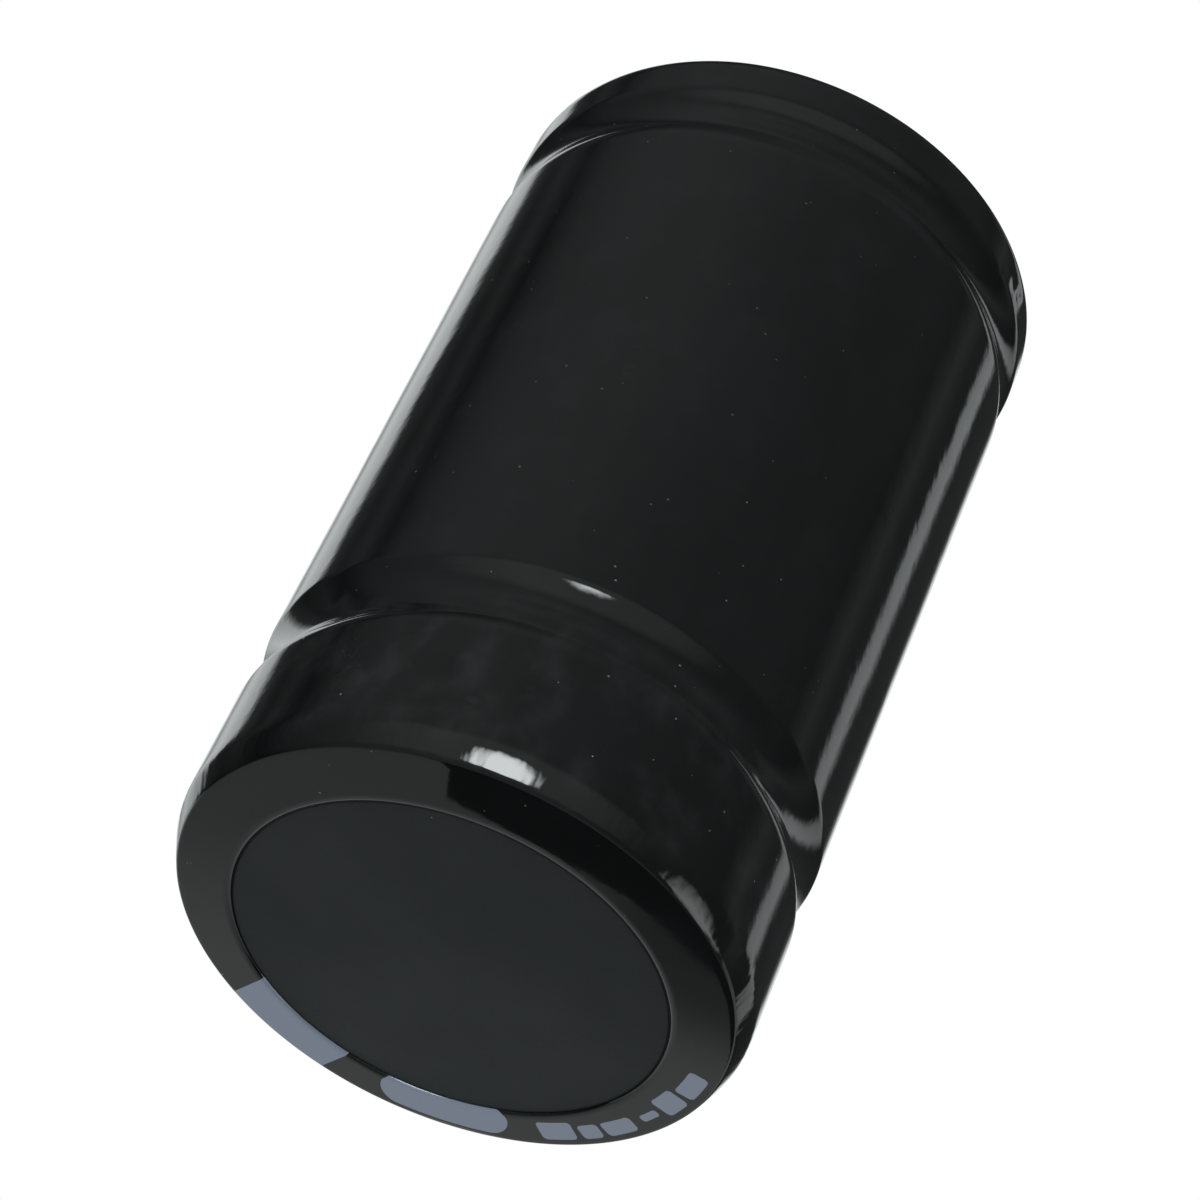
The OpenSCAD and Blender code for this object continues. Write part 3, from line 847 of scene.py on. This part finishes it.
class CELL_OT_terminals(Operator):
    """Make the snap-in terminals with sheared edges, and the rivets with their setting marks"""

    bl_idname = "cell.terminals"
    bl_label = "Terminals and rivets"

    def execute(self, context):
        header = context.scene.cell_header
        tin = metal_material("Tin plating", tuple(header.tin), 0.26, 0.35 * MM, (1.0, 1.0, 0.5), 0.003 * MM)
        bare = metal_material("Satin aluminium", (0.80, 0.81, 0.82), 0.32, 0.2 * MM)
        for side in ("positive", "negative"):
            self.terminal(side, tin, header.edge)
            self.rivet(side, bare, header)
        return {"FINISHED"}

    def terminal(self, side, material, edge):
        mesh = NODES["terminal_" + side].data.copy()
        mesh.name = "snap_terminal_" + side
        mesh.materials.clear()
        mesh.materials.append(material)
        build = bmesh.new()
        build.from_mesh(mesh)
        bmesh.ops.remove_doubles(build, verts=build.verts, dist=0.002 * MM)
        bmesh.ops.dissolve_limit(build, angle_limit=math.radians(1.0), verts=build.verts, edges=build.edges)
        for face in build.faces:
            face.smooth = True
        build.to_mesh(mesh)
        build.free()
        piece = place_object("snap_terminal_" + side, mesh)
        rounded = piece.modifiers.new("Sheared edge", "BEVEL")
        rounded.width = edge
        rounded.segments = 3
        rounded.limit_method = "ANGLE"
        rounded.angle_limit = math.radians(40)
        rounded.harden_normals = True
        finish_piece(piece, "tinned_steel", "terminal_" + side)

    def rivet(self, side, material, header):
        """A rivet from its head, with the dimple in it, down to its flare."""
        low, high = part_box("rivet_" + side)
        centre = (low + high) / 2
        radius = (high.x - low.x) / 2
        head = high.z - 0.9 * MM
        dimple = header.dimple
        line = [(0.0, high.z - dimple), (0.35 * MM, high.z - 0.85 * dimple),
                (0.7 * MM, high.z - 0.3 * dimple), (0.95 * MM, high.z - 0.03 * MM), (1.2 * MM, high.z),
                (radius - 0.55 * MM, high.z - 0.02 * MM)]
        rolled = arc((radius / MM - 0.42, high.z / MM - 0.46), 0.42, 80, -70, 12)
        line += [(r * MM, z * MM) for r, z in rolled]
        line += [(1.5 * MM, head), (1.5 * MM, low.z + 0.8 * MM), (2.1 * MM, low.z + 0.8 * MM),
                 (1.95 * MM, low.z + 0.55 * MM), (1.5 * MM, low.z + 0.05 * MM), (1.4 * MM, low.z),
                 (0.0, low.z)]
        centre = (centre.x, centre.y, 0.0)
        piece = turn_plain("set_rivet_" + side, line[::-1], material, header.steps, centre)
        finish_piece(piece, "aluminium", "rivet_" + side)


class CELL_OT_inside(Operator):
    """Dress the winding and all that is hidden in the can"""

    bl_idname = "cell.inside"
    bl_label = "Inside of the can"

    def execute(self, context):
        foil = metal_material("Foil", (0.82, 0.83, 0.84), 0.22, 0.25 * MM, (1.0, 0.2, 1.0))
        for node in ("washer_positive", "washer_negative", "tabs_positive", "tabs_negative"):
            dress(node, foil)
        sheet = moulded_material("Plastic sheet", (0.75, 0.72, 0.62), 0.42, 0.5 * MM, 0.004 * MM, 0.05)
        for node in ("upper_insulator", "lower_insulator"):
            dress(node, sheet)
        dress("winding", roll_material())
        tape = moulded_material("Amber tape", (0.55, 0.30, 0.09), 0.30, 0.6 * MM, 0.003 * MM, 0.10)
        dress("winding_tape", tape)
        return {"FINISHED"}


class CELL_OT_stage(Operator):
    """Set up the floor, the reflecting walls, the lamps, the world and the camera"""

    bl_idname = "cell.stage"
    bl_label = "Studio"

    def execute(self, context):
        studio = context.scene.cell_studio
        context.scene.view_settings.view_transform = "Standard"
        self.floor(studio)
        self.walls()
        self.card()
        self.world(context.scene, studio)
        self.lamps(studio)
        self.camera(context.scene, studio)
        return {"FINISHED"}

    def stage_object(self, name, mesh, material, hidden_from):
        """An object of the studio that the named kinds of rays don't see."""
        mesh.materials.append(material)
        thing = place_object(name, mesh)
        for ray in hidden_from:
            setattr(thing, "visible_" + ray, False)

    def flat_mesh(self, name, corners):
        mesh = bpy.data.meshes.new(name)
        mesh.from_pydata(corners, [], [tuple(range(len(corners)))])
        return mesh

    def floor(self, studio):
        """Pale floor that can be seen from above and not from below, and turns white far off."""
        material, tree, surface = bare_material("Pale floor")
        grain = effect(tree, "grain", size=4 * MM, detail=3.0)
        pale = studio.floor_colour
        shade = mix_colours(tree, grain["Blotches"], rgba(pale, 0.985), rgba(pale))
        near = add(tree, "ShaderNodeBsdfPrincipled", {"Base Color": shade, "Roughness": 0.9}).outputs[0]
        far = add(tree, "ShaderNodeEmission", {"Color": grey(1.0), "Strength": 1.0}).outputs[0]
        x, y, _ = separate(tree, object_place(tree))
        away = fade(tree, distance(tree, x, y), 0.15, 0.45)
        above = add(tree, "ShaderNodeMixShader", {0: away, 1: near, 2: far}).outputs[0]
        below = add(tree, "ShaderNodeBsdfTransparent").outputs[0]
        behind = add(tree, "ShaderNodeNewGeometry").outputs["Backfacing"]
        both = add(tree, "ShaderNodeMixShader", {0: behind, 1: above, 2: below}).outputs[0]
        tree.links.new(both, surface)
        half, z = 1.6, -0.2 * MM
        mesh = self.flat_mesh("floor", [(-half, -half, z), (half, -half, z), (half, half, z), (-half, half, z)])
        self.stage_object("floor", mesh, material, ("diffuse", "glossy", "transmission", "shadow"))

    def tent_light(self, tree):
        """Brightness of the tent: bright strips, dark gaps and soft lamps by direction."""
        x, y, z = separate(tree, object_place(tree))
        azimuth = math_node(tree, "DEGREES", math_node(tree, "ARCTAN2", y, x))
        height = math_node(tree, "DEGREES", math_node(tree, "ARCTAN2", z, distance(tree, x, y)))
        turn = plus(tree, over(tree, azimuth, 360.0), 0.5)
        ramp = add(tree, "ShaderNodeValToRGB", {0: turn})
        steps = ramp.color_ramp.elements
        while len(steps) < len(TENT_LEVELS):
            steps.new(0.5)
        for step, (angle, level) in zip(steps, TENT_LEVELS):
            step.position = angle / 360 + 0.5
            step.color = grey(level / 2)
        around = times(tree, ramp.outputs[0], 2.0)
        overhead = fade(tree, height, 50.0, 68.0)
        underneath = fade(tree, height, -28.0, -60.0)
        behind = fade(tree, over(tree, y, TENT_R), -0.60, 0.25, 0.20, 0.03)
        light = add(tree, "ShaderNodeMix", {0: overhead, 2: around, 3: behind}).outputs[0]
        light = add(tree, "ShaderNodeMix", {0: underneath, 2: light, 3: 0.30}).outputs[0]
        for middle, half, level, tall, power in TENT_LAMPS:
            across = over(tree, minus(tree, azimuth, middle), half)
            up = over(tree, minus(tree, height, level), tall)
            away = plus(tree, times(tree, across, across), times(tree, up, up))
            light = plus(tree, light, fade(tree, away, 0.15, 1.0, power, 0.0))
        return light

    def walls(self):
        """Round tent that only reflections see."""
        material, tree, surface = bare_material("Tent")
        inputs = {"Color": (0.95, 1.0, 1.0, 1.0), "Strength": self.tent_light(tree)}
        tree.links.new(add(tree, "ShaderNodeEmission", inputs).outputs[0], surface)
        material.cycles.emission_sampling = "NONE"
        mesh = bpy.data.meshes.new("tent")
        build = bmesh.new()
        bmesh.ops.create_icosphere(build, subdivisions=4, radius=TENT_R)
        build.to_mesh(mesh)
        build.free()
        self.stage_object("tent", mesh, material, ALL_BUT_GLOSSY)

    def glow(self, name, level):
        """A plain glowing material, with its tree and its Emission shader."""
        material, tree, surface = bare_material(name)
        inputs = {"Color": (level * 0.94, level, level, 1.0), "Strength": 1.0}
        shine = add(tree, "ShaderNodeEmission", inputs)
        tree.links.new(shine.outputs[0], surface)
        material.cycles.emission_sampling = "NONE"
        return material, tree, shine

    def card(self):
        """Glowing grey card with a black sheet on it, just under the lip's far side, that only reflections see:
        a painted reflection of a lit table, with the cell's painted shadow on it.
        """
        normal = Vector((-0.2588, -0.9659, 0.0))
        along = Vector((0.9659, -0.2588, 0.0))
        centre = normal * -17.65 * MM

        def spots(points, forward):
            start = centre + normal * forward * MM
            return [tuple(start + along * s * MM + Vector((0, 0, z * MM))) for s, z in points]

        painted_table_glow, tree, shine = self.glow("Painted table reflection", 1.0)
        x, _, z = separate(tree, object_place(tree))
        # Painted light and shade: the card glows brighter near the lip and dimmer further down, with a painted
        # shade patch to one side lower down.
        light = fade(tree, z, -20 * MM, -6 * MM, 0.38, 0.62)
        shade = times(tree, fade(tree, x, 2 * MM, 12 * MM), fade(tree, z, -9 * MM, -15 * MM))
        light = times(tree, light, minus(tree, 1.0, times(tree, shade, 0.55)))
        tree.links.new(light, shine.inputs["Strength"])
        corners = [(-70, -0.6), (70, -0.6), (70, -75), (-70, -75)]
        self.stage_object("card", self.flat_mesh("card", spots(corners, 0.0)), painted_table_glow, ALL_BUT_GLOSSY)
        # Painted shadow: the black sheet's outline is the cell's shadow on the table, seen only in reflections.
        edge = [(-20.5, -62.5), (-9.4, -24.2), (4.1, -20.5), (7.5, -18.8), (9.7, -17.3), (12, -16.2),
                (13.3, -15.1), (14.4, -12.7), (16.0, -9.5), (40, -9.5), (40, -62.5)]
        painted_shadow_material = self.glow("Painted shadow", 0.045)[0]
        self.stage_object("painted_shadow_sheet", self.flat_mesh("painted_shadow_sheet", spots(edge, 0.3)), painted_shadow_material, ALL_BUT_GLOSSY)

    def world(self, scene, studio):
        """White to the camera, to gloss and through glass; a plain soft light for the rest."""
        world = bpy.data.worlds.new("Studio")
        scene.world = world
        world.use_nodes = True
        tree = world.node_tree
        tree.nodes.clear()
        path = add(tree, "ShaderNodeLightPath").outputs
        seen = plus(tree, *(path[f"Is {ray} Ray"] for ray in ("Camera", "Glossy", "Transmission")))
        seen = math_node(tree, "MINIMUM", seen, 1.0)
        soft = add(tree, "ShaderNodeBackground", {"Color": grey(1.0), "Strength": studio.ambient}).outputs[0]
        white = add(tree, "ShaderNodeBackground", {"Color": grey(1.0), "Strength": 1.0}).outputs[0]
        both = add(tree, "ShaderNodeMixShader", {0: seen, 1: soft, 2: white}).outputs[0]
        add(tree, "ShaderNodeOutputWorld", {0: both})

    def lamps(self, studio):
        """Soft lamps that light matt surfaces; the tent gives the gloss its reflections."""
        aim = Vector((0, 0, 0.03))
        for name, place, size, share in LAMPS:
            data = bpy.data.lights.new(name, "AREA")
            data.size = size
            data.energy = studio.key * 10 * share
            lamp = place_object(name, data)
            lamp.location = place
            lamp.rotation_euler = (aim - Vector(place)).to_track_quat("-Z", "Y").to_euler()
            lamp.visible_glossy = False

    def camera(self, scene, studio):
        """The camera stands low and looks up at the closed end, rolled to one side."""
        place, target = Vector(studio.camera), Vector(studio.target)
        ahead = (target - place).normalized()
        right = ahead.cross(Vector((0, 0, 1))).normalized()
        up = right.cross(ahead)
        c, s = math.cos(studio.roll), math.sin(studio.roll)
        right, up = right * c + up * s, up * c - right * s
        data = bpy.data.cameras.new("camera")
        data.lens = studio.lens
        data.sensor_width = 36.0
        data.clip_start = 0.01
        data.clip_end = 20.0
        camera = place_object("camera", data)
        turn = Matrix((right, up, -ahead)).transposed().to_4x4()
        camera.matrix_world = Matrix.Translation(place) @ turn
        scene.camera = camera


class CELL_PT_panel(Panel):
    """Lists what the cell is made of"""

    bl_label = "Supercapacitor cell"
    bl_idname = "CELL_PT_panel"
    bl_space_type = "VIEW_3D"
    bl_region_type = "UI"
    bl_category = "Cell"

    def draw(self, context):
        scene = context.scene
        for operator, settings in (
            (CELL_OT_sleeve, scene.cell_film), (CELL_OT_closed_end, scene.cell_end), (CELL_OT_can, None),
            (CELL_OT_header, None), (CELL_OT_terminals, scene.cell_header), (CELL_OT_inside, None),
            (CELL_OT_stage, scene.cell_studio),
        ):
            box = self.layout.box()
            box.operator(operator.bl_idname)
            for name in type(settings).__annotations__ if settings else ():
                box.prop(settings, name)


CLASSES = (
    FilmSettings, EndSettings, HeaderSettings, StudioSettings, CELL_OT_sleeve, CELL_OT_closed_end,
    CELL_OT_can, CELL_OT_header, CELL_OT_terminals, CELL_OT_inside, CELL_OT_stage, CELL_PT_panel,
)
SETTINGS = {
    "cell_film": FilmSettings, "cell_end": EndSettings, "cell_header": HeaderSettings,
    "cell_studio": StudioSettings,
}


def register():
    for cls in CLASSES:
        bpy.utils.register_class(cls)
    for name, cls in SETTINGS.items():
        setattr(bpy.types.Scene, name, PointerProperty(type=cls))


def unregister():
    for name in SETTINGS:
        delattr(bpy.types.Scene, name)
    for cls in reversed(CLASSES):
        bpy.utils.unregister_class(cls)


def main():
    register()
    bpy.ops.cell.stage()
    bpy.ops.cell.sleeve()
    bpy.ops.cell.closed_end()
    bpy.ops.cell.can()
    bpy.ops.cell.header()
    bpy.ops.cell.terminals()
    bpy.ops.cell.inside()


if __name__ == "__main__":
    main()
